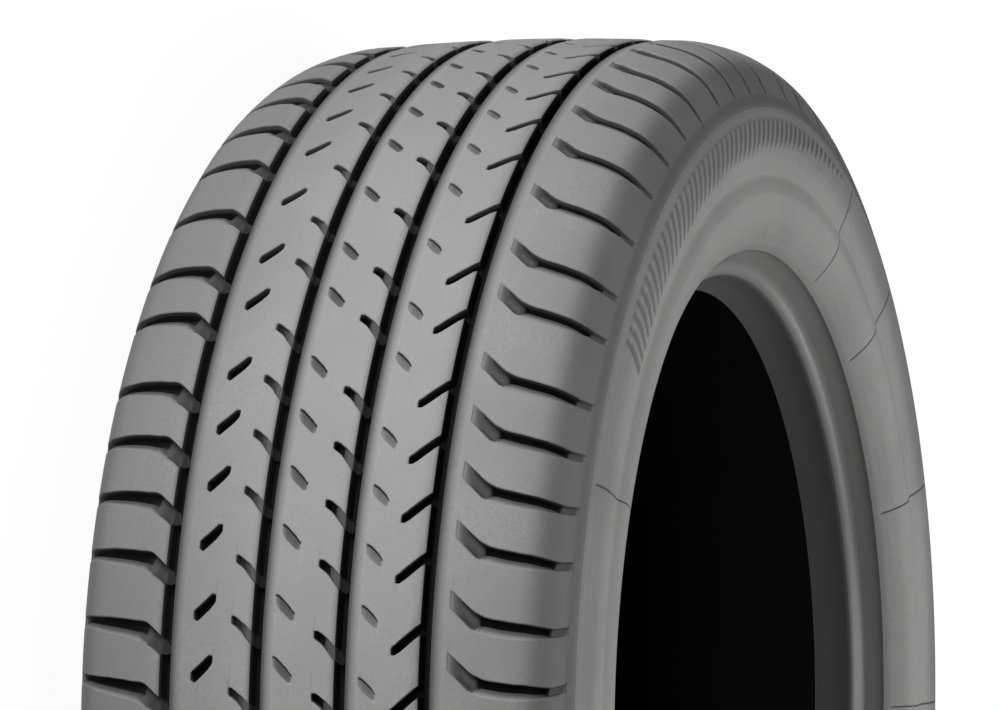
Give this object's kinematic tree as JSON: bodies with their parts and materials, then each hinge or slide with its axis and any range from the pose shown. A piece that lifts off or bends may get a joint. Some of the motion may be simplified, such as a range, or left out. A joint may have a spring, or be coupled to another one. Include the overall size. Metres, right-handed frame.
{
  "type": "car tyre",
  "caption": "Pneumatic passenger car tyre with a ribbed tread, lateral shoulder grooves, rounded sidewalls and open bead seats for a wheel rim.",
  "frame": {"origin": "centre of the tyre, on its axis and half way between the sidewalls", "axes": "+Z along the tyre's axis, out of its outer sidewall, which faces up while the tyre lies on the other one"},
  "size_m": [0.632, 0.6318, 0.23],
  "materials": {
    "tyre_rubber": "matt grey-black moulded rubber"
  },
  "bodies": {
    "root": {"tyre": "tyre_rubber"}
  },
  "joints": []
}
